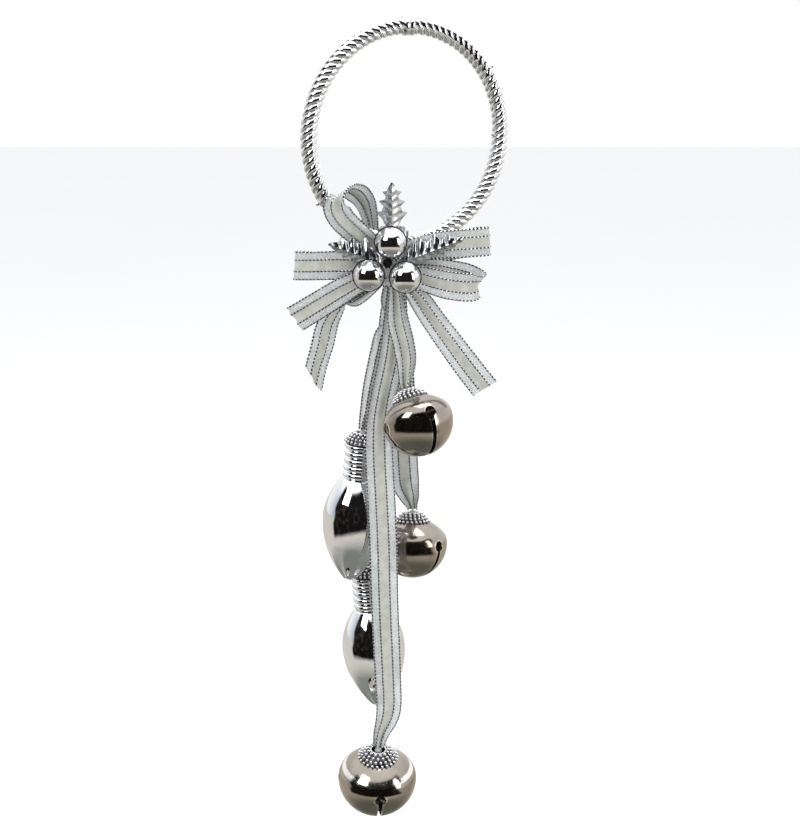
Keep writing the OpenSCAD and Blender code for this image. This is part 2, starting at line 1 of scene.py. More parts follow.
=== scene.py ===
"""Looks of the Christmas bell ornament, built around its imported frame.

Shapes are worked out in millimetres in the frame's own axes and scaled to metres when a piece is made.
The rows of the ribbons and the places of the pendants repeat those of the part's source, except that
the left tail stays wide to its end, where a slanted cut gives it its point.
"""
import math

import bpy
from mathutils import Matrix, Vector


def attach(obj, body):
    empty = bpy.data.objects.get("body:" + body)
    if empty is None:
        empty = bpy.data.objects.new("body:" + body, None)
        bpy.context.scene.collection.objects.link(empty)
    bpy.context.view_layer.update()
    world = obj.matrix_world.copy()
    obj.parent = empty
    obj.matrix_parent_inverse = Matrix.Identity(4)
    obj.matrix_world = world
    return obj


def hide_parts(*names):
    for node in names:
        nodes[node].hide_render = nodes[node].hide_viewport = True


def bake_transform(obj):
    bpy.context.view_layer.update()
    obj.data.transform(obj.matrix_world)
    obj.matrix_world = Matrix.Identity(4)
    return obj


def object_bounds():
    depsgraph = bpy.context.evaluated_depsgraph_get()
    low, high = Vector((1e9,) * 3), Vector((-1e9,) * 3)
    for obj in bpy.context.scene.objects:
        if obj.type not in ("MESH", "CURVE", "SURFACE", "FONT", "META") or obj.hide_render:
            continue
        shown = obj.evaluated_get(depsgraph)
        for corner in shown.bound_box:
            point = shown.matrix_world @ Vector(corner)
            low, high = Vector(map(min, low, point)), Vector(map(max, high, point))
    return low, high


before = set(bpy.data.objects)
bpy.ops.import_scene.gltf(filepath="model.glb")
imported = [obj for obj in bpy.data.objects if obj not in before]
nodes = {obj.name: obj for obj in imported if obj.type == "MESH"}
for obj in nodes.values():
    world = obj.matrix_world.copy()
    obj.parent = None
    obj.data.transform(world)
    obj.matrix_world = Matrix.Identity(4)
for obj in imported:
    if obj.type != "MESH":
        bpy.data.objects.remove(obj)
cad_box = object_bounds()
MM = 0.001

# ---------- camera and studio, in metres ----------

scene = bpy.context.scene
scene.view_settings.view_transform = "Standard"

camera_data = bpy.data.cameras.new("camera")
camera_data.sensor_fit = "VERTICAL"
camera_data.sensor_height = 24
camera_data.lens = 57.7
camera_data.clip_start = 0.01
camera = bpy.data.objects.new("camera", camera_data)
scene.collection.objects.link(camera)
camera.location = (-0.0037, -1.0984, 0.0528)
aim = Vector((-0.0037, 0.0016, -0.2122))
camera.rotation_euler = (aim - camera.location).to_track_quat("-Z", "Y").to_euler()
scene.camera = camera


def area_light(name, place, size, power, target=(0, 0, -0.25)):
    data = bpy.data.lights.new(name, "AREA")
    data.shape = "RECTANGLE"
    data.size, data.size_y = size
    data.energy = power
    light = bpy.data.objects.new(name, data)
    scene.collection.objects.link(light)
    light.location = place
    light.rotation_euler = (Vector(target) - Vector(place)).to_track_quat("-Z", "Y").to_euler()


area_light("key", (-0.9, -0.9, 0.7), (0.7, 0.7), 7)
area_light("fill", (1.1, -0.6, 0.1), (0.3, 0.9), 3)
area_light("top", (0.1, 0.1, 1.0), (0.8, 0.8), 5)


# ---------- node helpers ----------


class Nodes:
    """Short ways to add nodes to a tree."""

    def __init__(self, tree):
        self.tree = tree

    def node(self, kind, links=(), **values):
        """A node with its settings, whose inputs take numbers or the sockets of other nodes."""
        made = self.tree.nodes.new(kind)
        for key, value in values.items():
            setattr(made, key, value)
        for key, value in dict(links).items():
            if isinstance(value, bpy.types.NodeSocket):
                self.tree.links.new(value, made.inputs[key])
            else:
                made.inputs[key].default_value = value
        return made

    def math(self, operation, a, b=0.0, clamp=False):
        made = self.node("ShaderNodeMath", {0: a, 1: b}, operation=operation)
        made.use_clamp = clamp
        return made.outputs[0]

    def spread(self, value, low, high, to_low=0.0, to_high=1.0, smooth=False):
        made = self.node("ShaderNodeMapRange", {0: value, 1: low, 2: high, 3: to_low, 4: to_high})
        if smooth:
            made.interpolation_type = "SMOOTHSTEP"
        return made.outputs[0]

    def blend(self, share, first, second):
        made = self.node("ShaderNodeMix", data_type="RGBA")
        for key, value in ((0, share), (6, first), (7, second)):
            if isinstance(value, bpy.types.NodeSocket):
                self.tree.links.new(value, made.inputs[key])
            else:
                made.inputs[key].default_value = value if key == 0 else (*value, 1)
        return made.outputs[2]

    def noise(self, scale, detail=3.0, stretch=(1, 1, 1), source="Object"):
        where = self.node("ShaderNodeTexCoord").outputs[source]
        mapped = self.node("ShaderNodeMapping", {"Vector": where, "Scale": stretch})
        made = self.node(
            "ShaderNodeTexNoise", {"Vector": mapped.outputs[0], "Scale": scale, "Detail": detail}
        )
        return made.outputs[0]


class Shader(Nodes):
    """A Principled material whose colour, roughness and bump come from procedural nodes."""

    def __init__(self, name, metallic, **constants):
        self.material = bpy.data.materials.new(name)
        self.material.use_nodes = True
        super().__init__(self.material.node_tree)
        self.surface = self.tree.nodes["Principled BSDF"]
        self.surface.inputs["Metallic"].default_value = metallic
        for socket, value in constants.items():
            self.surface.inputs[socket.replace("_", " ")].default_value = value

    def uv(self):
        apart = self.node("ShaderNodeSeparateXYZ", {0: self.node("ShaderNodeUVMap").outputs[0]})
        return apart.outputs[0], apart.outputs[1]

    def bump(self, height, distance, strength=1.0):
        made = self.node(
            "ShaderNodeBump", {"Height": height, "Distance": distance, "Strength": strength}
        )
        self.tree.links.new(made.outputs[0], self.surface.inputs["Normal"])

    def set(self, socket, value):
        self.tree.links.new(value, self.surface.inputs[socket])


def metal(name, bright, dark, rough=(0.05, 0.14), smudge=90, dent=0.00002, dent_scale=400, **constants):
    """Plated metal: smudges in its colour and gloss, and a faint unevenness of its surface."""
    s = Shader(name, 1.0, **constants)
    cloud = s.noise(smudge, 4)
    s.set("Base Color", s.blend(s.spread(cloud, 0.35, 0.7), bright, dark))
    s.set("Roughness", s.spread(s.noise(smudge * 2.3, 5), 0.3, 0.75, *rough))
    s.bump(s.noise(dent_scale, 2), dent)
    return s.material


CHROME = metal("chrome_plating", (0.93, 0.94, 0.96), (0.78, 0.79, 0.82), (0.06, 0.2), 120, 0.00004, 500)
BULB_CHROME = metal("bulb_mirror", (0.9, 0.92, 0.95), (0.8, 0.82, 0.86), (0.03, 0.1), 40, 0.00006, 160)
BERRY_CHROME = metal("berry_mirror", (0.9, 0.91, 0.93), (0.76, 0.76, 0.78), (0.04, 0.12), 60, 0.00003, 260)
CAP_BEADS = metal("cap_beads", (0.95, 0.95, 0.96), (0.8, 0.8, 0.82), (0.06, 0.16), 300, 0.00002, 900)
# The cap's ground is painted near black as the shade in the recesses between its beads.
CAP_PAINTED_SHADE = metal("cap_ground_painted_shade", (0.1, 0.1, 0.105), (0.03, 0.03, 0.032), (0.25, 0.5), 400, 0.00005, 1500)
FOIL = metal("leaf_foil", (0.62, 0.63, 0.65), (0.36, 0.37, 0.4), (0.1, 0.24), 150, 0.00004, 420)
STEEL = metal("ball_steel", (0.55, 0.54, 0.52), (0.33, 0.31, 0.29), (0.2, 0.42), 200, 0.00004, 700)
WIRE = metal("tie_wire", (0.5, 0.5, 0.5), (0.2, 0.2, 0.21), (0.22, 0.4), 500, 0.00003, 1500)
HUB = metal("holly_hub", (0.2, 0.2, 0.21), (0.05, 0.05, 0.055), (0.18, 0.4), 300, 0.0001, 900)


def nickel():
    """Black nickel: a warm dark mirror with fine pits, and brighter metal where an edge is worn."""
    s = Shader("bell_nickel", 1.0)
    cloud = s.spread(s.noise(55, 4), 0.35, 0.7)
    ground = s.blend(cloud, (0.42, 0.375, 0.32), (0.31, 0.275, 0.235))
    pits = s.spread(s.noise(900, 2), 0.69, 0.76)
    pitted = s.blend(pits, ground, (0.2, 0.16, 0.12))
    edge = s.spread(s.node("ShaderNodeNewGeometry").outputs["Pointiness"], 0.53, 0.6)
    s.set("Base Color", s.blend(edge, pitted, (0.9, 0.88, 0.84)))
    s.set("Roughness", s.spread(s.noise(130, 5), 0.3, 0.75, 0.07, 0.2))
    s.bump(s.math("ADD", s.noise(120, 2), s.math("MULTIPLY", pits, -0.3)), 0.00009)
    return s.material


NICKEL = nickel()

RIBBON_W = 16.0
# Half the satin band's width, as a share of half the ribbon's width
SATIN_EDGE = 0.4
WARP_PITCH = 0.25
WEFT_PITCH = 0.3
THREAD_PERIOD = 2.1


def ribbon_cloth():
    """Woven ribbon by its UVs: U runs across it from 0 to 1, V along it in metres."""
    s = Shader("ribbon_cloth", 0.0, Sheen_Weight=0.35, Sheen_Roughness=0.35, IOR=1.45)
    across, along = s.uv()
    off_centre = s.math("ABSOLUTE", s.math("MULTIPLY", s.math("SUBTRACT", across, 0.5), 2.0))
    organza = s.spread(off_centre, SATIN_EDGE - 0.02, SATIN_EDGE + 0.02, smooth=True)
    warps = math.pi * RIBBON_W / WARP_PITCH
    wefts = math.pi / (WEFT_PITCH * MM)
    warp = s.math("ABSOLUTE", s.math("SINE", s.math("MULTIPLY", across, warps)))
    weft = s.math("ABSOLUTE", s.math("SINE", s.math("MULTIPLY", along, wefts)))
    net = s.math("MAXIMUM", s.math("POWER", warp, 2.0), s.math("POWER", weft, 2.0))
    cloud = s.noise(260, 4)
    satin = s.blend(s.spread(cloud, 0.3, 0.75), (0.5, 0.505, 0.455), (0.38, 0.385, 0.345))
    sheer = s.blend(s.spread(cloud, 0.3, 0.75), (0.6, 0.622, 0.618), (0.45, 0.473, 0.47))
    # Flecks of the silver fibres, whose pure white is a painted sparkle, and grey flecks, a little longer
    # along the ribbon than across it
    flecks = s.noise(1, 2, (34, 1500, 1), "UV")
    sheer = s.blend(s.spread(flecks, 0.56, 0.66), sheer, (1, 1, 1))
    sheer = s.blend(s.spread(flecks, 0.42, 0.34), sheer, (0.3, 0.32, 0.32))
    s.set("Base Color", s.blend(organza, satin, sheer))
    s.set("Roughness", s.spread(organza, 0, 1, 0.36, 0.52))
    see_through = s.math("MULTIPLY", organza, s.spread(net, 0.2, 1.0, 0.62, 0.16))
    s.set("Alpha", s.math("SUBTRACT", 1.0, see_through, clamp=True))
    rib = s.math("MULTIPLY", s.math("ADD", warp, weft), 0.5)
    s.bump(rib, 0.00006, 0.6)
    return s.material


def metallic_thread():
    """A flat metal strip wound round a core, with bright and dark turns painted along its length as the
    glints and dark reflections of its twist.
    """
    s = Shader("metallic_thread", 1.0)
    _, along = s.uv()
    # Painted glints and dark reflections: the colour alternates between near white and near black along the
    # thread.
    turn = s.math("SINE", s.math("MULTIPLY", along, 2 * math.pi / (THREAD_PERIOD * MM)))
    uneven = s.math("ADD", turn, s.math("MULTIPLY", s.math("SUBTRACT", s.noise(300, 2), 0.5), 1.6))
    dark = s.spread(uneven, -0.2, 0.1, smooth=True)
    s.set("Base Color", s.blend(dark, (0.97, 0.97, 0.97), (0.035, 0.035, 0.04)))
    s.set("Roughness", s.spread(dark, 0, 1, 0.16, 0.42))
    s.bump(s.noise(1800, 1), 0.00005)
    return s.material


CLOTH = ribbon_cloth()
THREAD = metallic_thread()


# ---------- mesh helpers ----------


class Build:
    """Gathers grids of points in millimetres into one mesh."""

    def __init__(self):
        self.points, self.faces, self.slots, self.uvs = [], [], [], []

    def grid(self, rows, wrap=False, close=False, slot=0, uvs=None, flip=False):
        """Quads over rows of points. wrap joins each row's ends, close the last row to the first."""
        base, across = len(self.points), len(rows[0])
        for i, row in enumerate(rows):
            for j, p in enumerate(row):
                self.points.append(Vector(p))
                self.uvs.append(uvs[i][j] if uvs else (j / across, i / len(rows)))
        spans = len(rows) if close else len(rows) - 1
        steps = across if wrap else across - 1
        for i in range(spans):
            for j in range(steps):
                a, b = base + i * across + j, base + i * across + (j + 1) % across
                c = base + (i + 1) % len(rows) * across + (j + 1) % across
                d = base + (i + 1) % len(rows) * across + j
                self.faces.append((d, c, b, a) if flip else (a, b, c, d))
                self.slots.append(slot)
        return base

    def fan(self, ring, tip, slot=0, flip=False):
        """Triangles from a ring of point numbers to a new point."""
        self.points.append(Vector(tip))
        self.uvs.append((0.5, 0.5))
        top = len(self.points) - 1
        for k in range(len(ring)):
            a, b = ring[k], ring[(k + 1) % len(ring)]
            self.faces.append((top, b, a) if flip else (a, b, top))
            self.slots.append(slot)

    def lathe(self, profile, segments=96, slot=0, shape=None):
        """A surface of revolution about Z, from radii and heights listed from the top down."""
        rows = []
        for r, z in profile:
            row = []
            for k in range(segments):
                turn = 2 * math.pi * k / segments
                rk = r * shape(turn, z) if shape else r
                row.append((rk * math.cos(turn), rk * math.sin(turn), z))
            rows.append(row)
        base = self.grid(rows, wrap=True, slot=slot, flip=True)
        self.fan([base + k for k in range(segments)], (0, 0, profile[0][1]), slot)
        last = base + (len(rows) - 1) * segments
        self.fan([last + k for k in range(segments)], (0, 0, profile[-1][1]), slot, flip=True)

    def bead(self, centre, axes, rings=6, segments=10, slot=0):
        """An ellipsoid with the given half axes."""
        centre = Vector(centre)
        axes = [Vector(a) for a in axes]
        rows = []
        for i in range(1, rings):
            fall = math.pi * i / rings
            rows.append([
                centre
                + axes[0] * math.sin(fall) * math.cos(2 * math.pi * k / segments)
                + axes[1] * math.sin(fall) * math.sin(2 * math.pi * k / segments)
                + axes[2] * math.cos(fall)
                for k in range(segments)
            ])
        base = self.grid(rows, wrap=True, slot=slot, flip=True)
        self.fan([base + k for k in range(segments)], centre + axes[2], slot)
        last = base + (rings - 2) * segments
        self.fan([last + k for k in range(segments)], centre - axes[2], slot, flip=True)

    def make(self, name, materials, place=None, sharp=50):
        mesh = bpy.data.meshes.new(name)
        place = place or Matrix.Identity(4)
        mesh.from_pydata([(place @ p) * MM for p in self.points], [], self.faces)
        layer = mesh.uv_layers.new(name="UVMap")
        coordinates = []
        for face in self.faces:
            for corner in face:
                coordinates.extend(self.uvs[corner])
        layer.data.foreach_set("uv", coordinates)
        for material in materials:
            mesh.materials.append(material)
        mesh.polygons.foreach_set("material_index", self.slots)
        mesh.shade_smooth()
        mesh.set_sharp_from_angle(angle=math.radians(sharp))
        mesh.update()
        piece = bpy.data.objects.new(name, mesh)
        scene.collection.objects.link(piece)
        return piece


def fixed(piece, body, slot, *replaced):
    """Rides a piece on one body and hides the nodes that it replaces. Its slot is not used."""
    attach(piece, body)
    if replaced:
        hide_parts(*replaced)
    return piece


# ---------- surroundings ----------

# What the mirrors see: white above and behind, pale sides, a dark room in front and a warm grey ground
world = bpy.data.worlds.new("studio")
scene.world = world
world.use_nodes = True
room = Nodes(world.node_tree)
look = room.node(
    "ShaderNodeSeparateXYZ", {0: room.node("ShaderNodeTexCoord").outputs["Generated"]}
).outputs
x, y, z = look[0], look[1], look[2]
# The dark reaches further round on the left than on the right
front = room.math("MULTIPLY", room.spread(y, -0.05, -0.2, smooth=True), room.math(
    "MULTIPLY", room.spread(x, -0.99, -0.96, smooth=True), room.spread(x, 0.92, 0.86, smooth=True)
))
level = room.math(
    "MULTIPLY", room.spread(z, -0.52, -0.4, smooth=True), room.spread(z, 0.74, 0.66, smooth=True)
)
sides = room.blend(room.spread(y, -0.5, 0.7, smooth=True), (0.4, 0.44, 0.5), (1.0, 1.0, 1.0))
sides = room.blend(room.spread(x, -0.2, 0.8, smooth=True), sides, (1.05, 1.05, 1.05))
upper = room.blend(room.spread(z, 0.35, 0.75, smooth=True), sides, (1.35, 1.37, 1.4))
ground = room.blend(room.spread(z, -0.5, -0.9, smooth=True), (0.68, 0.64, 0.57), (0.22, 0.23, 0.2))
whole = room.blend(room.spread(z, 0.0, -0.1, smooth=True), upper, ground)
dark = room.blend(
    room.spread(room.noise(5, 3, source="Generated"), 0.5, 0.75), (0.006, 0.006, 0.006), (0.06, 0.04, 0.03)
)
seen = room.blend(room.math("MULTIPLY", front, level), whole, dark)
path = room.node("ShaderNodeLightPath").outputs
soft = room.blend(path["Is Glossy Ray"], (0.98, 0.985, 1.0), seen)
shown = room.blend(path["Is Camera Ray"], soft, (1.0, 1.0, 1.0))
world.node_tree.links.new(shown, world.node_tree.nodes["Background"].inputs["Color"])

# ---------- floor ----------

FLOOR_REACH = 4000
FLOOR_GAP = 25
floor_z = cad_box[0][2] / MM - FLOOR_GAP
floor_lines = (-FLOOR_REACH, 0, FLOOR_REACH)
floor_build = Build()
floor_build.grid([[(x, y, floor_z) for x in floor_lines] for y in floor_lines], flip=True)
floor_paint = Shader("floor_paint", 0.0)
floor_paint.set(
    "Base Color",
    floor_paint.blend(floor_paint.noise(3, 2), (0.93, 0.93, 0.93), (0.9, 0.9, 0.905)),
)
floor_paint.set("Roughness", floor_paint.spread(floor_paint.noise(30, 3), 0, 1, 0.6, 0.8))
floor = floor_build.make("floor", [floor_paint.material])
# The mirrors see the surroundings instead of the floor
floor.visible_glossy = False


# ---------- hoop ----------

HOOP_OD = 128.0
ROPE_R = 4.6
HOOP_MID_R = HOOP_OD / 2 - ROPE_R
HOOP_CENTRE = Vector((0, 0, -(HOOP_MID_R - ROPE_R)))
HOOP_TURN = Matrix.Rotation(math.radians(27), 4, "Z")
RIDGES = 92
STRANDS = 4
GROOVE = 1.55


def on_hoop(theta, phi, r):
    """A point r from the rope's middle line, theta round the hoop and phi round the rope."""
    reach = HOOP_MID_R + r * math.cos(phi)
    local = Vector((reach * math.cos(theta), -r * math.sin(phi), reach * math.sin(theta)))
    return HOOP_CENTRE + HOOP_TURN @ local


def rope_radius(theta, phi):
    """The rope's radius, where round ridges run along it and a little round it."""
    phase = (RIDGES * theta + STRANDS * phi) / (2 * math.pi) % 1
    bulge = math.sqrt(1 - (0.97 * (2 * phase - 1)) ** 2)
    return ROPE_R - GROOVE * (1 - bulge)


rope = Build()
around, turns = 48, RIDGES * 12
rope.grid(
    [
        [
            on_hoop(t, p, rope_radius(t, p))
            for p in (2 * math.pi * j / around for j in range(around))
        ]
        for t in (2 * math.pi * i / turns for i in range(turns))
    ],
    wrap=True, close=True, flip=True,
)
# Moulding nubs, at their angles round the hoop and round the rope
for theta, phi in ((34, 8), (-2, 172), (213, -10)):
    t, p = math.radians(theta), math.radians(phi)
    centre = on_hoop(t, p, ROPE_R + 0.3)
    out = (centre - on_hoop(t, p, 0)).normalized()
    side = out.orthogonal().normalized()
    rope.bead(centre, (side * 1.0, out.cross(side) * 1.0, out * 1.4))
hoop = rope.make("hoop_rope", [CHROME], sharp=70)
fixed(hoop, "hanger", "hoop_metal", "hoop")

collar = Build()
collar_half = math.radians(2.4)
COLLAR_SIDES = 64
# Shares of the collar's half length, and radii
collar_loop = [
    (-1, 4.62), (-1, 5.1), (-0.86, 5.32), (-0.6, 5.2), (-0.15, 5.2),
    (0, 5.02), (0.15, 5.2), (0.6, 5.2), (0.86, 5.32), (1, 5.1), (1, 4.62),
]
collar_rows = []
for share, r in collar_loop:
    row = []
    step = share * collar_half
    for j in range(COLLAR_SIDES):
        phi = 2 * math.pi * j / COLLAR_SIDES
        # Inside the hoop, the collar's right end runs out into a lip
        lip = -0.035 * max(0, math.cos(phi - math.pi)) ** 6 if step < 0 else 0
        row.append(on_hoop(math.pi / 2 + step + lip, phi, r))
    collar_rows.append(row)
collar.grid(collar_rows, wrap=True, close=True, flip=True)
fixed(collar.make("hoop_collar", [CHROME]), "hanger", "hoop_metal", "hoop_sleeve")


# ---------- ribbon ----------

HOOP_LOW = HOOP_CENTRE.z - HOOP_MID_R
BOW = Vector((-8, -4, HOOP_LOW - 7.4))
SHEET_T = 0.16
COLUMNS = 21
THREADS = (-0.955, -SATIN_EDGE, SATIN_EDGE, 0.955)
THREAD_STEP = 0.36


def catmull(a, b, c, d, u):
    """The row at u between rows b and c of a Catmull-Rom curve."""
    return [
        0.5 * (2 * q + (r - p) * u + (2 * p - 5 * q + 4 * r - s) * u * u + (3 * q - p - 3 * r + s) * u ** 3)
        for p, q, r, s in zip(a, b, c, d)
    ]


def smooth_rows(rows, steps):
    last = len(rows) - 1
    path = []
    for i in range(last):
        for j in range(steps):
            path.append(catmull(
                rows[max(i - 1, 0)], rows[i], rows[i + 1], rows[min(i + 2, last)], j / steps
            ))
    return path + [list(rows[last])]


def pleat_slope(share):
    """The steepest slope of the pleats that take a ribbon's spare width when it is gathered to share."""
    target = (0.8 + 0.2 * share) / share
    low, high = 0.0, 14.0
    for _ in range(24):
        middle = (low + high) / 2
        mean = sum(math.sqrt(1 + (middle * math.cos(math.pi * k / 12)) ** 2) for k in range(12)) / 12
        low, high = (middle, high) if mean < target else (low, middle)
    return low


class Ribbon:
    """A ribbon along rows of x, y, z, width direction and share of the full width."""

    def __init__(self, rows, steps=12, pleats=2.0, slant=0.0, crown=0.3, ripple=0.2, phase=0):
        path = smooth_rows(rows, steps)
        last = len(path) - 1
        self.frames = []
        length = 0.0
        for i, q in enumerate(path):
            p = Vector(q[:3])
            ahead, behind = Vector(path[min(i + 1, last)][:3]), Vector(path[max(i - 1, 0)][:3])
            along = (ahead - behind).normalized()
            given = Vector(q[3:6]).normalized()
            up = along.cross(given).normalized()
            side = given if i in (0, last) else up.cross(along)
            if i:
                length += (p - self.frames[-1][0]).length
            share = max(0.12, min(1.0, q[6]))
            slope = 0.0 if share > 0.985 else pleat_slope(share)
            self.frames.append((p, side, up, length, share, slope))
        self.length = length
        self.slant = slant / length
        self.pleats, self.crown, self.ripple, self.phase = pleats, crown, ripple, phase

    def at(self, frame_row, t):
        """The point of one section at t, from -1 at one edge to 1 at the other."""
        p, side, up, length, share, slope = frame_row
        half = share * RIBBON_W / 2
        waves = self.pleats * math.pi
        height = slope * half / waves * math.sin(waves * t + self.phase)
        height += self.crown * share * (1 - t * t)
        fade = min(1.0, length / 6, (self.length - length) / 6)
        height += self.ripple * fade * math.sin(length / 5.3 + 2.1 * t + self.phase)
        return p + side * (half * t) + up * height

    def place(self, i, t):
        """The point of section i at t, where a slanted end makes the edge at t = -1 the shorter one."""
        if not self.slant:
            return self.at(self.frames[i], t)
        spot = i * (1 - self.slant * (1 - t) / 2)
        low = min(int(spot), len(self.frames) - 2)
        return self.at(self.frames[low], t).lerp(self.at(self.frames[low + 1], t), spot - low)

    def sheet(self, name, material):
        """The ribbon as one thin closed sheet."""
        build = Build()
        rows, uvs = [], []
        ts = [-1 + 2 * j / (COLUMNS - 1) for j in range(COLUMNS)]
        for i, f in enumerate(self.frames):
            front = [self.place(i, t) + f[2] * SHEET_T / 2 for t in ts]
            back = [self.place(i, t) - f[2] * SHEET_T / 2 for t in reversed(ts)]
            rows.append(front + back)
            v = f[3] * MM
            uvs.append([((t + 1) / 2, v) for t in ts] + [((t + 1) / 2, v) for t in reversed(ts)])
        base = build.grid(rows, wrap=True, uvs=uvs, flip=True)
        for first, turned in ((base, False), (base + (len(rows) - 1) * 2 * COLUMNS, True)):
            for j in range(COLUMNS - 1):
                a, b = first + j, first + j + 1
                c, d = first + 2 * COLUMNS - 2 - j, first + 2 * COLUMNS - 1 - j
                build.faces.append((a, b, c, d) if not turned else (d, c, b, a))
                build.slots.append(0)
        return build.make(name, [material], sharp=60)

    def threads(self, name, material):
        """The four metallic threads: flat strips that twist as they run."""
        build = Build()
        sides = 6
        for t in THREADS:
            line = [(self.place(i, t), f[1], f[2]) for i, f in enumerate(self.frames)]
            rows, uvs = [], []
            run, i, done = 0.0, 0, 0.0
            while i < len(line) - 1:
                (a, side_a, up_a), (b, side_b, up_b) = line[i], line[i + 1]
                piece = (b - a).length
                if run > done + piece or piece < 1e-9:
                    done += piece
                    i += 1
                    continue
                u = (run - done) / piece
                p, side, up = a.lerp(b, u), side_a.lerp(side_b, u), up_a.lerp(up_b, u)
                turn = math.pi * run / THREAD_PERIOD
                swell = 0.38 + 0.26 * abs(math.sin(turn))
                row = []
                for k in range(sides):
                    angle = 2 * math.pi * k / sides
                    x, y = swell * math.cos(angle), swell * 0.6 * math.sin(angle)
                    wide = x * math.cos(turn) - y * math.sin(turn)
                    high = x * math.sin(turn) + y * math.cos(turn)
                    row.append(p + side * wide + up * high)
                rows.append(row)
                uvs.append([(k / sides, run * MM) for k in range(sides)])
                run += THREAD_STEP
            base = build.grid(rows, wrap=True, uvs=uvs, flip=True)
            for first, flip in ((base, False), (base + (len(rows) - 1) * sides, True)):
                ring = [first + k for k in range(sides)]
                build.faces.append(tuple(ring) if not flip else tuple(reversed(ring)))
                build.slots.append(0)
        return build.make(name, [material], sharp=80)


def shift(rows, by):
    """Rows moved by a vector."""
    return [[q[0] + by.x, q[1] + by.y, q[2] + by.z, *q[3:]] for q in rows]


BOW_ROWS = {
    "bow_loop_upper_left": [
        [-7.5, -10.2, 5.6, 0, 0, 1, 0.45], [-14, -13.6, 10.3, 0.5, -0.15, 0.84, 0.8],
        [-22.2, -18.4, 18, 0.6, -0.2, 0.76, 0.9], [-27.8, -22.8, 24.6, 0.64, -0.25, 0.72, 0.92],
        [-30.2, -25.5, 31.1, 0.7, -0.3, 0.6, 0.92], [-28, -26.4, 36.8, 0.7, -0.4, 0.6, 0.7],
        [-23.5, -17.5, 39.1, 0.6, -0.6, 0.5, 0.85], [-19, -9, 36.1, 0.75, -0.3, 0.55, 0.85],
        [-15.3, -1, 30.1, 0.8, -0.4, 0.3, 0.8], [-12.8, 4, 21.6, 0.75, -0.6, 0.1, 0.7],
        [-11.3, 6.2, 14.1, 0.4, -0.4, 0.8, 0.5], [-7.6, 5.2, 8.2, 0, -0.1, 1, 0.4],
    ],
    "bow_loop_left": [
        [-7.3, -8.2, -4.6, 0, 0, 1, 0.7], [-18, -8.4, -4, 0, 0.1, 1, 0.9],
        [-32, -10, -3.6, 0.03, 0.05, 1, 1], [-46, -9.6, -4, 0.06, 0, 1, 1],
        [-53.4, -6.6, -4.4, 0.08, 0, 1, 1], [-53.6, -3.4, -4.5, 0.08, 0, 1, 1],
        [-46, -0.8, -5, 0.05, 0, 1, 1], [-32, -0.4, -5.4, 0, 0, 1, 1],
        [-18, -2, -5.2, 0, 0, 1, 0.9], [-7.3, -2.6, -5, 0, 0, 1, 0.7],
    ],
    "bow_loop_lower_left": [
        [-7.3, -10.2, -8.6, 0, 0, 1, 0.55], [-16, -10.6, -11.5, 0.42, 0.05, 0.9, 0.75],
        [-28, -12.6, -17.6, 0.5, 0.05, 0.87, 0.9], [-41, -13.4, -25.4, -0.5, 0, 0.86, 0.95],
        [-51.6, -12.4, -32, -0.56, 0, 0.83, 0.97], [-54.4, -10.6, -33.8, -0.58, 0, 0.81, 0.97],
        [-51.6, -8.8, -32.2, -0.56, 0, 0.83, 0.95], [-40, -7.6, -26, -0.5, 0, 0.86, 0.9],
        [-27, -7.2, -19.2, 0.5, 0, 0.87, 0.8], [-14, -6.8, -13.8, 0.3, 0, 0.95, 0.5],
        [-7.3, -6.6, -11.4, 0, 0, 1, 0.4],
    ],
    "bow_tail_left": [
        [-7.3, -3.2, -13.4, -0.2, 0, 0.98, 0.4], [-20, -3.6, -21.2, 0.66, 0.2, 0.72, 0.8],
        [-29, -4.4, -27, 0.8, 0.5, 0.5, 0.95], [-36, -4.8, -37, 0.8, 0.6, 0.2, 1],
        [-39.4, -5.4, -50, 0.78, 0.6, 0.14, 1], [-43.2, -6.2, -63, 0.78, 0.6, 0.2, 0.95],
        [-45.6, -6.8, -76, 0.78, 0.6, 0.26, 0.85],
    ],
    "bow_loop_upper_right": [
        [6.8, -5.8, 3.6, 0, 0, 1, 0.6], [18, -5.6, 6, -0.05, 0.05, 1, 0.85],
        [32, -6.2, 7.6, -0.06, 0, 1, 0.98], [46, -6, 8.4, -0.08, 0, 1, 1],
        [53, -4.2, 8.8, -0.08, 0, 1, 1], [53.2, -1.6, 8.8, -0.08, 0, 1, 1],
        [46, 0.2, 8, -0.06, 0, 1, 1], [32, 0, 5, -0.06, 0, 1, 0.9],
        [18, -2.2, 0.6, 0, 0, 1, 0.7], [6.8, -3, -1.4, 0, 0, 1, 0.6],
    ],
    "bow_loop_lower_right": [
        [6.8, -9.2, -8.8, 0, 0, 1, 0.6], [17, -9, -11.4, -0.1, 0, 1, 0.85],
        [30, -10, -14.6, 0, 0, 1, 0.98], [42, -10.2, -16, 0.15, 0, 1, 1],
        [47, -9, -15.4, 0.24, 0, 1, 1], [46.6, -7.4, -13.6, 0.26, 0, 0.97, 1],
        [40, -7.2, -10.6, 0.4, 0, 0.92, 1], [28, -7.4, -7.6, 0.2, 0, 0.98, 0.9],
        [17, -6.6, -6.4, 0, 0, 1, 0.75], [6.8, -6.4, -5.6, 0, 0, 1, 0.5],
    ],
    "bow_tail_right": [
        [8.6, -4.6, -16, 0.8, 0, 0.6, 0.45], [15, -5.6, -23.4, 0.82, -0.1, 0.56, 0.75],
        [23.6, -8.2, -35.6, 0.84, -0.1, 0.54, 0.85], [33.6, -11, -49, 0.84, -0.05, 0.55, 0.92],
        [43, -12, -61.6, 0.86, 0, 0.53, 0.96], [52, -12.4, -73, 0.86, 0, 0.52, 0.98],
    ],
}

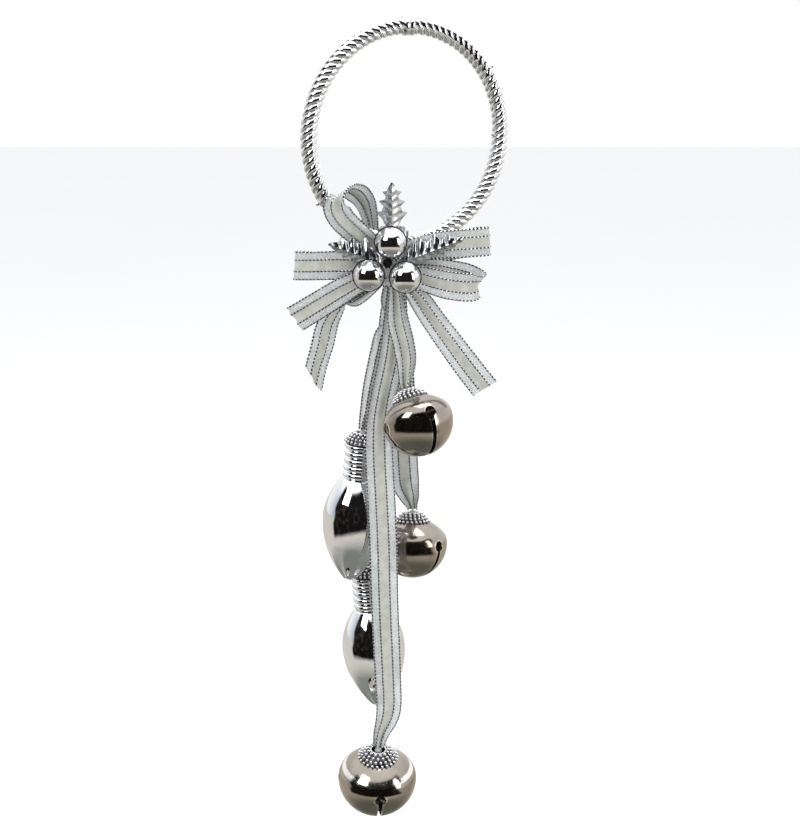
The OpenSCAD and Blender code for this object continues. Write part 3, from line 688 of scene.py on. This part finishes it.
TAIL_CUT = 14.0
for number, (name, rows) in enumerate(BOW_ROWS.items()):
    # The left tail is cut aslant, which makes one of its edges shorter
    slant = TAIL_CUT if name == "bow_tail_left" else 0.0
    strip = Ribbon(shift(rows, BOW), slant=slant, ripple=0.1, crown=0.2, phase=number)
    piece = strip.sheet("ribbon_" + name, CLOTH)
    trim = strip.threads("thread_" + name, THREAD)
    fixed(piece, "hanger", "ribbon", name)
    fixed(trim, "hanger", "ribbon")


# ---------- bow's binding ----------

BAND_W, BAND_H = 13.0, 31.0
BAND_Y = (-11.0, 10.5)
band_mid = BOW + Vector((0, sum(BAND_Y) / 2, 0))


def band_point(turn, out):
    """A point of the rounded rectangle round the bow's middle, out from its side."""
    power = 0.45
    c, s = math.cos(turn), math.sin(turn)
    half_x, half_y = BAND_W / 2 + out, (BAND_Y[1] - BAND_Y[0]) / 2 + out
    return Vector((
        half_x * math.copysign(abs(c) ** power, c), half_y * math.copysign(abs(s) ** power, s), 0
    ))


# The gathered ribbons inside the binding, drawn in at their top and bottom
CORE_SIDES = 120
CORE_CREASES = 14
CORE_END = 14.4
core_half = ((4, -0.5), (11, -0.6), (14, -1.2), (15, -2.6))
core = Build()
core_rows = []
for z, out in [(-z, out) for z, out in reversed(core_half)] + list(core_half):
    row = []
    for k in range(CORE_SIDES):
        turn = 2 * math.pi * k / CORE_SIDES
        crease = 0.3 * math.sin(CORE_CREASES * turn + z * 0.12)
        row.append(band_mid + band_point(turn, out + crease) + Vector((0, 0, z)))
    core_rows.append(row)
base = core.grid(core_rows, wrap=True)
core_last = base + (len(core_rows) - 1) * CORE_SIDES
core.fan([base + k for k in range(CORE_SIDES)], band_mid + Vector((0, 0, -CORE_END)), flip=True)
core.fan([core_last + k for k in range(CORE_SIDES)], band_mid + Vector((0, 0, CORE_END)))
core_piece = core.make("bow_core", [CLOTH])
fixed(core_piece, "hanger", "ribbon", "bow_band")

for name, low in (("bow_wrap_upper", 0.2), ("bow_wrap_lower", -15.4)):
    rows = []
    count = 64
    for k in range(count + 1):
        turn = 2 * math.pi * k / count + math.pi / 2
        p = band_mid + band_point(turn, -0.15) + Vector((0, 0, low + RIBBON_W * 0.475))
        rows.append([*p, 0, 0, 1, 0.95])
    wrap = Ribbon(rows, steps=2, ripple=0.0, crown=0.0)
    piece = wrap.sheet(name, CLOTH)
    trim = wrap.threads("thread_" + name, THREAD)
    fixed(piece, "hanger", "ribbon")
    fixed(trim, "hanger", "ribbon")


def tube(build, line, radius, sides=10, slot=0):
    """A round wire along a line of points."""
    rows = []
    normal = (line[1] - line[0]).orthogonal().normalized()
    for i, p in enumerate(line):
        along = (line[min(i + 1, len(line) - 1)] - line[max(i - 1, 0)]).normalized()
        normal = (normal - along * normal.dot(along)).normalized()
        other = along.cross(normal)
        rows.append([
            p + normal * radius * math.cos(2 * math.pi * k / sides)
            + other * radius * math.sin(2 * math.pi * k / sides)
            for k in range(sides)
        ])
    base = build.grid(rows, wrap=True)
    build.fan([base + k for k in range(sides)], line[0], slot, flip=True)
    last = base + (len(rows) - 1) * sides
    build.fan([last + k for k in range(sides)], line[-1], slot)


WIRE_R = 0.42
wire = Build()
wire_z = BOW.z + BAND_H / 2 - 0.45
ring = []
for k in range(121):
    turn = 2 * math.pi * k / 120 - math.pi / 4
    ring.append(Vector((*(band_mid + band_point(turn, 0.45)).xy, wire_z)))
tube(wire, ring, WIRE_R)
twist_x, twist_y = BOW.x + BAND_W / 2 + 1.8, BOW.y + BAND_Y[0] - 0.45
for phase in (0, math.pi):
    tube(wire, [
        Vector((
            twist_x + 0.38 * math.cos(phase + k * 0.5), twist_y + 0.38 * math.sin(phase + k * 0.5),
            wire_z + 0.8 - k * 0.12,
        ))
        for k in range(52)
    ], 0.36)
fixed(wire.make("tie_wire_twist", [WIRE]), "hanger", "wire", "tie_wire")


# ---------- holly ----------

HUB_AT = BOW + Vector((-2.5, -14.5, -1))
HALF_LEAF = [
    (0, 0.06), (0.01, 0.2), (0.1, 0.5), (0.18, 0.66), (0.26, 1), (0.34, 0.62), (0.45, 0.5), (0.55, 0.81),
    (0.61, 0.46), (0.69, 0.34), (0.77, 0.62), (0.82, 0.26), (0.92, 0.16), (1, 0.012),
]
LEAF_HALF_W = 11.0
LEAF_FOLD = math.radians(34)
# How far the spikes lean towards the tip, as a share of their reach
FORWARD = 0.3


def leaf_width(u):
    for (u0, w0), (u1, w1) in zip(HALF_LEAF, HALF_LEAF[1:]):
        if u <= u1:
            return w0 + (w1 - w0) * (u - u0) / (u1 - u0)
    return HALF_LEAF[-1][1]


def leaf(name, length, base, angle, pitch, roll, ribs, depth):
    build = Build()
    rows = []
    count, half_count = 120, 12
    for i in range(count + 1):
        u = i / count
        width = leaf_width(u) * LEAF_HALF_W
        row = []
        for j in range(-half_count, half_count + 1):
            side, v = (1 if j >= 0 else -1), abs(j) / half_count
            reach = v * width
            # Veins lean towards the tip as they leave the midrib, so the foil is corrugated between them
            vein = math.sin(2 * math.pi * (ribs * u - 0.3 * v))
            lift = depth * min(1, 3 * v) * vein * min(1, width / 4)
            rib = 0.35 * math.exp(-((reach / 0.45) ** 2)) * (1 - 0.6 * u)
            curl = -0.5 * (reach / 6) ** 2
            y = side * (reach * math.cos(LEAF_FOLD) + (lift + curl) * math.sin(LEAF_FOLD))
            z = -reach * math.sin(LEAF_FOLD) + (lift + curl) * math.cos(LEAF_FOLD) + rib
            row.append((u * length + FORWARD * reach * (1 - u), y, z + 0.7))
        rows.append(row)
    build.grid(rows)
    place = (
        Matrix.Translation(HUB_AT + Vector(base))
        @ Matrix.Rotation(math.radians(-angle), 4, "Y")
        @ Matrix.Rotation(math.radians(-pitch), 4, "Z")
        @ Matrix.Rotation(math.radians(90 + roll), 4, "X")
    )
    piece = build.make(name, [FOIL], place, sharp=60)
    thick = piece.modifiers.new("foil_thickness", "SOLIDIFY")
    thick.thickness = 0.5 * MM
    thick.offset = -1
    return piece


for side, length, base, angle, pitch, roll, ribs, depth in (
    ("top", 26.4, (2.4, 2.2, 17.3), 90, -3, 0, 6.5, 0.18),
    ("left", 30.2, (-5.5, -1.3, 1), 158, 15.7, -14, 6.5, 0.6),
    ("right", 35.6, (8.9, 0, 0.8), 22, 8.8, 14, 8, 0.6),
):
    piece = leaf("leaf_" + side, length, base, angle, pitch, roll, ribs, depth)
    fixed(piece, "hanger", "leaf_foil", "holly_leaf_" + side)

BERRY_R = 8.6
BERRY_CIRCLE_R = 12.1
BERRY_Y = -6.8
BERRY_RINGS = 64
for side, angle in (("top", 82), ("left", 211), ("right", 323)):
    turn = math.radians(angle)
    at = HUB_AT + Vector((BERRY_CIRCLE_R * math.cos(turn), BERRY_Y, BERRY_CIRCLE_R * math.sin(turn)))
    build = Build()
    profile = []
    for i in range(1, BERRY_RINGS):
        fall = math.pi * i / BERRY_RINGS
        r = BERRY_R
        # The moulding seam runs round the berry's widest place, as seen from the front
        if abs(i - BERRY_RINGS / 2) <= 1:
            r += 0.06
        # The stem's dimple is at the back
        if i >= BERRY_RINGS - 3:
            r -= 0.5 * (i - (BERRY_RINGS - 4)) / 3
        profile.append((r * math.sin(fall), r * math.cos(fall)))
    build.lathe(profile, 72)
    place = Matrix.Translation(at) @ Matrix.Rotation(math.radians(90), 4, "X")
    fixed(build.make("berry_ball_" + side, [BERRY_CHROME], place), "hanger", "berry_mirror", "berry_" + side)


# ---------- hanging ribbons ----------

BEND_Z = HOOP_LOW - 44
LONG_DROP = 78.0
CAP_H = 7.4
PENDANTS = {
    "upper_bell": ((2.2, -21.5, BEND_Z - 42.2), (-22, -20, 30)),
    "middle_bell": ((3.6, 18.2, BEND_Z - 125), (-8, 0, 50)),
    "lower_bell": ((-16.6, -18, BEND_Z - 258), (14, 2, 6)),
    "left_bulb": ((-25.4, 4, BEND_Z - 73), (0, 5.5, 0)),
    "rear_bulb": ((-23, 24, BEND_Z - 159), (0, -4.4, 0)),
}
BUNCH_TOP = BOW.z - BAND_H / 2 - 0.3


def tilted(name):
    """The lean of a pendant's axis, without its turn about that axis."""
    tilt = PENDANTS[name][1]
    return (
        Matrix.Rotation(math.radians(tilt[1]), 4, "Y") @ Matrix.Rotation(math.radians(tilt[0]), 4, "X")
    )


def hung(name):
    """The pendant's own frame, with its cap seat at the origin, where it hangs."""
    seat, tilt = PENDANTS[name]
    return Matrix.Translation(seat) @ tilted(name) @ Matrix.Rotation(math.radians(tilt[2]), 4, "Z")


def ribbon_end(name):
    """Where the pendant's ribbon ends, just above its cap."""
    return Vector(PENDANTS[name][0]) + tilted(name) @ Vector((0, 0, CAP_H + 0.3))


def end_row(name, by, share):
    """A row of the ribbon at a distance from its end."""
    p = ribbon_end(name) + Vector(by)
    return [*p, 1, 0, 0, share]


def bunch(x, y, bend, share, end_share):
    """The rows of a ribbon from the bow's binding down to its bend."""
    middle = [(x + bend[0]) / 2, (y + bend[1]) / 2, (BUNCH_TOP + BEND_Z) / 2]
    return [
        [x, y, BUNCH_TOP + 3, 1, 0, 0, 0.5 * share], [*middle, 1, 0, 0, 0.8 * share],
        [bend[0], bend[1], BEND_Z, 1, 0, 0, end_share],
    ]


DROPS = {
    "upper_bell": (
        (-4.5, -11, BEND_Z),
        bunch(-6.5, -10, (-4.5, -11), 0.75, 0.75) + [
            [-1.6, -11.6, BEND_Z - 12, 1, 0.1, 0, 0.75], [-0.2, -12.2, BEND_Z - 22, 1, 0.2, 0, 0.7],
            end_row("upper_bell", (-0.4, 0.6, 2.4), 0.4), end_row("upper_bell", (0, 0, 0), 0.34),
        ],
    ),
    "middle_bell": (
        (-4, 1, BEND_Z),
        bunch(-7, -0.4, (-4, 1), 0.85, 0.2) + [
            [-3.8, 1.9, BEND_Z - 9, 1, 0, 0, 0.85], [-3.4, 3.4, BEND_Z - 30, 1, 0, 0, 0.95],
            [-2, 9, BEND_Z - 70, 1, 0, 0, 1], [-0.6, 14.6, BEND_Z - 98, 1, 0, 0, 1],
            [1.6, 16.4, BEND_Z - 108, 1, 0, 0, 0.75],
            end_row("middle_bell", (-0.4, 0, 3), 0.4), end_row("middle_bell", (0, 0, 0), 0.34),
        ],
    ),
    "lower_bell": (
        (-15.5, -10.6, BEND_Z - LONG_DROP),
        [
            [-6, -6.6, BUNCH_TOP + 3, 1, 0, 0, 0.55], [-6, -6.8, BEND_Z + 6, 1, 0, 0, 0.8],
            [-8.4, -7.2, BEND_Z - 20, 1, 0, 0.1, 0.9], [-13.4, -8.4, BEND_Z - 44, 1, 0, 0.1, 0.9],
            [-15.6, -9.4, BEND_Z - 60, 1, 0.05, 0, 0.94],
            [-15.5, -10.6, BEND_Z - LONG_DROP, 1, 0, 0, 1],
            [-14.2, -13, BEND_Z - 105, 1, 0, 0, 1], [-13.2, -15.6, BEND_Z - 130, 1, 0, 0, 1],
            [-12.4, -17, BEND_Z - 165, 1, 0, 0, 0.98], [-10.8, -18, BEND_Z - 205, 1, 0, 0, 0.95],
            [-10.4, -19.2, BEND_Z - 228, 1, 0, 0, 0.88],
            end_row("lower_bell", (1.6, 0.6, 8), 0.55), end_row("lower_bell", (0, 0, 0), 0.36),
        ],
    ),
    "left_bulb": (
        (-9.5, -2, BEND_Z),
        bunch(-8.5, -3.4, (-9.5, -2), 0.85, 0.2) + [
            [-11.2, -1.4, BEND_Z - 8, 1, 0, 0.05, 0.8], [-14, -0.4, BEND_Z - 20, 1, 0, 0.1, 0.85],
            [-18.4, 1.4, BEND_Z - 40, 1, 0, 0.2, 0.8], [-21.6, 3, BEND_Z - 54, 1, 0.1, 0.1, 0.6],
            end_row("left_bulb", (0.8, 0, 4), 0.42), end_row("left_bulb", (0, 0, 0), 0.34),
        ],
    ),
    "rear_bulb": (
        (-8, 4.5, BEND_Z),
        bunch(-8, 2.6, (-8, 4.5), 0.9, 0.9) + [
            [-12, 11.5, BEND_Z - 36, 1, 0, 0, 0.95], [-19.6, 20.5, BEND_Z - 78, 1, 0, 0, 1],
            [-25.4, 26.6, BEND_Z - 114, 1, 0, 0, 1], [-25.6, 26.4, BEND_Z - 136, 1, 0, 0, 0.95],
            end_row("rear_bulb", (0, 0.6, 6), 0.5), end_row("rear_bulb", (0, 0, 0), 0.34),
        ],
    ),
}
ALSO = {"upper_bell": ["ribbon_bunch"], "lower_bell": ["lower_bell_ribbon_top"]}
for number, (name, (bend, rows)) in enumerate(DROPS.items()):
    strip = Ribbon(rows, crown=0.25, ripple=0.18, phase=number * 1.3)
    piece = strip.sheet("ribbon_" + name, CLOTH)
    trim = strip.threads("thread_" + name, THREAD)
    # The ribbon and its threads are baked into world space, on no body
    for part in (piece, trim):
        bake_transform(part)
    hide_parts(name + "_ribbon", *ALSO.get(name, []))


# ---------- pendants ----------

# Each bell's diameter and its cap's
BELLS = {"upper_bell": (40.0, 21.4), "middle_bell": (41.0, 21.4), "lower_bell": (46.0, 24.4)}


CAP_HOLE_D = 8.0
BEAD_ROWS = 4


def cap_piece(name, d, skirt):
    """A domed cap covered with rows of raised beads over a ground painted near black as the shade between
    the beads.
    """
    r, hole_r = d / 2, CAP_HOLE_D / 2
    dome_r = (r ** 2 + CAP_H ** 2 - (hole_r * 0.9) ** 2) / (2 * CAP_H) + 1
    centre_z = CAP_H - dome_r
    build = Build()
    inset = 0.8
    ground = dome_r - inset
    first = math.asin(hole_r / ground)
    last = math.acos(max(-1, min(1, (0.3 - centre_z) / ground)))
    outer = [
        (ground * math.sin(a), centre_z + ground * math.cos(a))
        for a in (first + (last - first) * k / 20 for k in range(21))
    ]
    wall = 1.0
    inner = [(p[0] - wall * 0.9 if p[0] > hole_r + 1 else p[0], p[1] - wall) for p in reversed(outer)]
    rim_r = outer[-1][0]
    loop = outer + [(rim_r + 0.1, -skirt * 0.4), (rim_r - 0.8, -skirt * 0.4)] + inner
    rows = []
    segments = 96
    for rr, z in loop:
        rows.append([
            (rr * math.cos(2 * math.pi * k / segments), rr * math.sin(2 * math.pi * k / segments), z)
            for k in range(segments)
        ])
    # The inset ground takes the second material, which paints the shade between the beads.
    build.grid(rows, wrap=True, close=True, slot=1, flip=True)
    size = (last - first) * dome_r / BEAD_ROWS / 2
    for row in range(BEAD_ROWS):
        a = first + 0.05 + (last - first - 0.03) * (row + 0.5) / BEAD_ROWS
        around_r = (dome_r - 0.35) * math.sin(a)
        count = max(9, round(2 * math.pi * around_r / (size * 2.3)))
        for k in range(count):
            turn = 2 * math.pi * (k + 0.5 * (row % 2)) / count
            out = Vector((math.sin(a) * math.cos(turn), math.sin(a) * math.sin(turn), math.cos(a)))
            down = Vector((math.cos(a) * math.cos(turn), math.cos(a) * math.sin(turn), -math.sin(a)))
            beside = out.cross(down)
            at = Vector((0, 0, centre_z)) + out * (dome_r - 0.45)
            build.bead(at, (down * size * 0.92, beside * size * 0.74, out * size * 0.95), 6, 10)
    # The plain rolled rim round the hole
    ring_at = Vector((0, 0, centre_z + ground * math.cos(first)))
    tube_rows = []
    for k in range(64):
        turn = 2 * math.pi * k / 64
        radial = Vector((math.cos(turn), math.sin(turn), 0))
        tube_rows.append([
            ring_at + radial * (hole_r + 0.35 + 0.45 * math.cos(b)) + Vector((0, 0, 0.45 * math.sin(b)))
            for b in (2 * math.pi * j / 10 for j in range(10))
        ])
    build.grid(tube_rows, wrap=True, close=True)
    return build.make(name + "_beaded_cap", [CAP_BEADS, CAP_PAINTED_SHADE], hung(name), sharp=70)


def knot_piece(name, top):
    """The ribbon's knot: a ball of cloth with turns laid round it."""
    r = min(CAP_HOLE_D * 0.38, (CAP_H - top) / 2 - 0.05)
    build = Build()
    profile = [(r * math.sin(math.pi * i / 28), r * math.cos(math.pi * i / 28)) for i in range(1, 28)]
    build.lathe(profile, 60, shape=lambda turn, z: 1 - 0.14 * abs(math.sin(3.5 * turn + 1.1 * z)))
    place = hung(name) @ Matrix.Translation((0, 0, CAP_H - r)) @ Matrix.Rotation(0.5, 4, "X")
    return build.make(name + "_ribbon_knot", [CLOTH], place)


DOME_SHARE, SEAT_SHARE = 0.72, 0.6


def dome_top(d):
    """How far a bell's dome rises above its cap's seat, inside the cap."""
    return d / 2 * (DOME_SHARE - SEAT_SHARE)


for name, (d, cap_d) in BELLS.items():
    body = name
    fixed(cap_piece(name, cap_d, 0.8), body, "cap_metal", name + "_cap")
    fixed(knot_piece(name, dome_top(d)), body, "ribbon", name + "_knot")
    for part, material in (("shell", NICKEL), ("shank", STEEL), ("ball", STEEL)):
        carried = nodes[f"{name}_{part}"]
        carried.data.materials.clear()
        carried.data.materials.append(material)

BULB_R, BULB_L = 18.8, 62.0
# How far down the bulb is widest, as a share of its length
EQUATOR = 0.38
# Where the pleats begin, as a share of the bulb's length, and how many facets they make
PLEATS_FROM = 0.62
FACETS = 10
NECK_R, NECK_L, RINGS, TIP_R = 9.8, 21.0, 5, 6.5


def bulb_profile():
    """The bulb's outline from the top of its neck down to its tip, as radius and height."""
    ring_r = NECK_L / RINGS / 2
    out = [(NECK_R - ring_r * 1.5, 0.0)]
    for i in range(RINGS):
        middle = -(i + 0.5) * 2 * ring_r
        for k in range(13):
            angle = math.radians(68 - 136 * k / 12)
            out.append((
                NECK_R - ring_r + ring_r * math.cos(angle), middle + ring_r * 0.93 * math.sin(angle)
            ))
        out.append((NECK_R - ring_r * 0.72, middle - ring_r))
    equator = NECK_L + BULB_L * EQUATOR
    # The shoulder leaves the neck as a cone and meets the widest place smoothly
    for k in range(29):
        u = k / 28
        ends = (2 * u ** 3 - 3 * u ** 2 + 1, 3 * u ** 2 - 2 * u ** 3)
        pulls = (u ** 3 - 2 * u ** 2 + u, u ** 3 - u ** 2)
        out.append((
            ends[0] * (NECK_R - 0.1) + ends[1] * BULB_R + pulls[0] * 13,
            -ends[0] * (NECK_L + 0.1) - ends[1] * equator - pulls[0] * 17 - pulls[1] * 27,
        ))
    h = BULB_L * (1 - EQUATOR) - TIP_R
    back = (h ** 2 - (BULB_R - TIP_R) ** 2) / (2 * (BULB_R - TIP_R))
    flank = BULB_R + back
    end = math.atan2(h, back)
    for k in range(1, 37):
        angle = end * k / 36
        out.append((-back + flank * math.cos(angle), -equator - flank * math.sin(angle)))
    for k in range(1, 12):
        angle = end + (math.pi / 2 - end) * k / 12
        out.append((TIP_R * math.cos(angle), -equator - h - TIP_R * math.sin(angle)))
    return out


def bulb_pleats(turn, z):
    """Shallow lengthwise facets that deepen towards the tip."""
    low = -NECK_L - BULB_L * PLEATS_FROM
    if z > low:
        return 1.0
    depth = min(1, (low - z) / (BULB_L * 0.3))
    return 1 - 0.1 * depth * abs(math.sin(FACETS / 2 * turn))


for name in ("left_bulb", "rear_bulb"):
    fixed(cap_piece(name, 21.4, 0.0), name, "cap_metal", name + "_cap")
    fixed(knot_piece(name, 0), name, "ribbon", name + "_knot")
    build = Build()
    build.lathe(bulb_profile(), 120, shape=bulb_pleats)
    fixed(build.make(name + "_glass", [BULB_CHROME], hung(name)), name, "bulb_mirror", name + "_body")

for node, material in (("berry_cups", CHROME), ("holly_hub", HUB)):
    nodes[node].data.materials.clear()
    nodes[node].data.materials.append(material)
